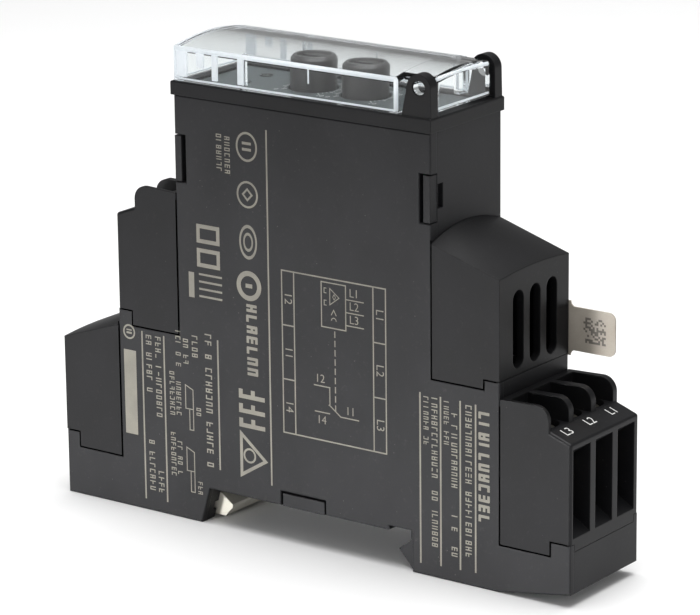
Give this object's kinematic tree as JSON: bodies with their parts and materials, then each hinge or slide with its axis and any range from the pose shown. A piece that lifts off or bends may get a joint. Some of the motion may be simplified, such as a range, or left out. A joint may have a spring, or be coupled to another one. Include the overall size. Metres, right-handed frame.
{
  "type": "rail-mounted monitoring relay",
  "caption": "Slim modular control relay for a top-hat rail, with screw terminals, setting knobs under a hinged clear cover and a sprung rail clip.",
  "frame": {"origin": "middle of the plane of the feet", "axes": "+X along the length towards the supply terminals, +Y across the width towards the closed side wall, +Z from the rail up to the clear cover"},
  "size_m": [0.09, 0.0182, 0.0724],
  "materials": {
    "housing_plastic": "fine spark-eroded charcoal moulding",
    "insert_plastic": "fine satin near-black moulding",
    "clear_plastic": "polished clear moulding",
    "panel_plastic": "printed grey panel",
    "knob_plastic": "satin grey moulding",
    "natural_plastic": "natural unpigmented moulding",
    "spring_steel": "drawn wire",
    "label_film": "matt printed film",
    "screw_steel": "zinc-plated",
    "clamp_steel": "zinc-plated pressing",
    "copper_alloy": "tinned strip",
    "light_pipe": "clear diffusing moulding",
    "lamp_chip": "resin",
    "circuit_board": "solder mask",
    "solder_steel": "tinned",
    "component_black": "moulded resin",
    "capacitor_sleeve": "shrink sleeve",
    "capacitor_film": "resin-filled box",
    "varistor_lacquer": "dipped lacquer",
    "resistor_lacquer": "baked lacquer",
    "potentiometer_plastic": "moulding",
    "relay_plastic": "moulding",
    "winding_copper": "enamelled wire",
    "magnet_iron": "plated soft iron",
    "contact_alloy": "spring alloy"
  },
  "bodies": {
    "housing": {"side_cover": "housing_plastic", "main_housing": "housing_plastic", "terminal_block_supply": "insert_plastic", "terminal_block_contacts": "insert_plastic", "blank_cover_upper": "insert_plastic", "blank_cover_lower": "insert_plastic", "front_bezel": "insert_plastic", "front_panel": "panel_plastic", "rail_clip_spring": "spring_steel", "side_tag": "label_film", "supply_bar_1": "copper_alloy", "supply_bar_2": "copper_alloy", "supply_bar_3": "copper_alloy", "contact_bar_1": "copper_alloy", "contact_bar_2": "copper_alloy", "contact_bar_3": "copper_alloy", "light_pipe_power": "light_pipe", "light_pipe_relay": "light_pipe", "lamp_chip_power": "lamp_chip", "lamp_chip_relay": "lamp_chip", "main_board": "circuit_board", "front_board": "circuit_board", "board_link_pins": "solder_steel", "measuring_chip": "component_black", "rectifier_chip": "component_black", "regulator_chip": "component_black", "bulk_capacitor": "capacitor_sleeve", "film_capacitor": "capacitor_film", "surge_discs": "varistor_lacquer", "dropper_resistors": "resistor_lacquer", "potentiometer_left": "potentiometer_plastic", "potentiometer_right": "potentiometer_plastic", "relay_base": "relay_plastic", "relay_case": "relay_plastic", "relay_bobbin": "relay_plastic", "relay_winding": "winding_copper", "relay_core": "magnet_iron", "relay_yoke": "magnet_iron", "relay_contact_make": "contact_alloy", "relay_contact_break": "contact_alloy"},
    "cover": {"clear_cover": "clear_plastic"},
    "knob_left": {"knob_left": "knob_plastic"},
    "knob_right": {"knob_right": "knob_plastic"},
    "rail_clip": {"rail_clip": "natural_plastic"},
    "armature": {"relay_armature": "magnet_iron", "relay_contact_leaf": "contact_alloy"},
    "supply_screw_1": {"supply_screw_1": "screw_steel"},
    "supply_clamp_1": {"supply_clamp_1": "clamp_steel"},
    "supply_screw_2": {"supply_screw_2": "screw_steel"},
    "supply_clamp_2": {"supply_clamp_2": "clamp_steel"},
    "supply_screw_3": {"supply_screw_3": "screw_steel"},
    "supply_clamp_3": {"supply_clamp_3": "clamp_steel"},
    "contact_screw_1": {"contact_screw_1": "screw_steel"},
    "contact_clamp_1": {"contact_clamp_1": "clamp_steel"},
    "contact_screw_2": {"contact_screw_2": "screw_steel"},
    "contact_clamp_2": {"contact_clamp_2": "clamp_steel"},
    "contact_screw_3": {"contact_screw_3": "screw_steel"},
    "contact_clamp_3": {"contact_clamp_3": "clamp_steel"}
  },
  "joints": [
    {"name": "cover_hinge", "type": "hinge", "parent": "housing", "child": "cover", "pos_m": [0.01997, 0, 0.07039], "axis": [0, 1, 0], "range_deg": [0, 110]},
    {"name": "knob_left_turn", "type": "hinge", "parent": "housing", "child": "knob_left", "pos_m": [-0.0041, 0, 0.066], "axis": [0, 0, 1], "range_deg": [-135, 135]},
    {"name": "knob_right_turn", "type": "hinge", "parent": "housing", "child": "knob_right", "pos_m": [0.005, 0, 0.066], "axis": [0, 0, 1], "range_deg": [-135, 135]},
    {"name": "rail_clip_slide", "type": "slide", "parent": "housing", "child": "rail_clip", "axis": [-1, 0, 0], "range_m": [0, 0.0026], "stiffness_N_per_m": 100, "springref_m": -0.0015, "deforming": ["rail_clip_spring"]},
    {"name": "armature_pivot", "type": "hinge", "parent": "housing", "child": "armature", "pos_m": [-0.0031, -0.00025, 0.0229], "axis": [0, 1, 0], "range_deg": [0, 3.5], "stiffness_Nm_per_rad": 0.0008, "springref_deg": -5.73},
    {"name": "supply_screw_1_turn", "type": "hinge", "parent": "housing", "child": "supply_screw_1", "pos_m": [0.0384, -0.00595, 0.0225], "axis": [0, 0, -1], "range_deg": [0, 1440]},
    {"name": "supply_clamp_1_rise", "type": "slide", "parent": "housing", "child": "supply_clamp_1", "axis": [0, 0, 1], "range_m": [0, 0.002]},
    {"name": "supply_screw_2_turn", "type": "hinge", "parent": "housing", "child": "supply_screw_2", "pos_m": [0.0384, -0.00025, 0.0225], "axis": [0, 0, -1], "range_deg": [0, 1440]},
    {"name": "supply_clamp_2_rise", "type": "slide", "parent": "housing", "child": "supply_clamp_2", "axis": [0, 0, 1], "range_m": [0, 0.002]},
    {"name": "supply_screw_3_turn", "type": "hinge", "parent": "housing", "child": "supply_screw_3", "pos_m": [0.0384, 0.00545, 0.0225], "axis": [0, 0, -1], "range_deg": [0, 1440]},
    {"name": "supply_clamp_3_rise", "type": "slide", "parent": "housing", "child": "supply_clamp_3", "axis": [0, 0, 1], "range_m": [0, 0.002]},
    {"name": "contact_screw_1_turn", "type": "hinge", "parent": "housing", "child": "contact_screw_1", "pos_m": [-0.0277, -0.00595, 0.0438], "axis": [0, 0, -1], "range_deg": [0, 1440]},
    {"name": "contact_clamp_1_rise", "type": "slide", "parent": "housing", "child": "contact_clamp_1", "axis": [0, 0, 1], "range_m": [0, 0.002]},
    {"name": "contact_screw_2_turn", "type": "hinge", "parent": "housing", "child": "contact_screw_2", "pos_m": [-0.0277, -0.00025, 0.0438], "axis": [0, 0, -1], "range_deg": [0, 1440]},
    {"name": "contact_clamp_2_rise", "type": "slide", "parent": "housing", "child": "contact_clamp_2", "axis": [0, 0, 1], "range_m": [0, 0.002]},
    {"name": "contact_screw_3_turn", "type": "hinge", "parent": "housing", "child": "contact_screw_3", "pos_m": [-0.0277, 0.00545, 0.0438], "axis": [0, 0, -1], "range_deg": [0, 1440]},
    {"name": "contact_clamp_3_rise", "type": "slide", "parent": "housing", "child": "contact_clamp_3", "axis": [0, 0, 1], "range_m": [0, 0.002]}
  ],
  "couplings": [
    {"joint": "supply_screw_1_turn", "follows": "supply_clamp_1_rise", "rad_per_m": 12566},
    {"joint": "supply_screw_2_turn", "follows": "supply_clamp_2_rise", "rad_per_m": 12566},
    {"joint": "supply_screw_3_turn", "follows": "supply_clamp_3_rise", "rad_per_m": 12566},
    {"joint": "contact_screw_1_turn", "follows": "contact_clamp_1_rise", "rad_per_m": 12566},
    {"joint": "contact_screw_2_turn", "follows": "contact_clamp_2_rise", "rad_per_m": 12566},
    {"joint": "contact_screw_3_turn", "follows": "contact_clamp_3_rise", "rad_per_m": 12566}
  ]
}
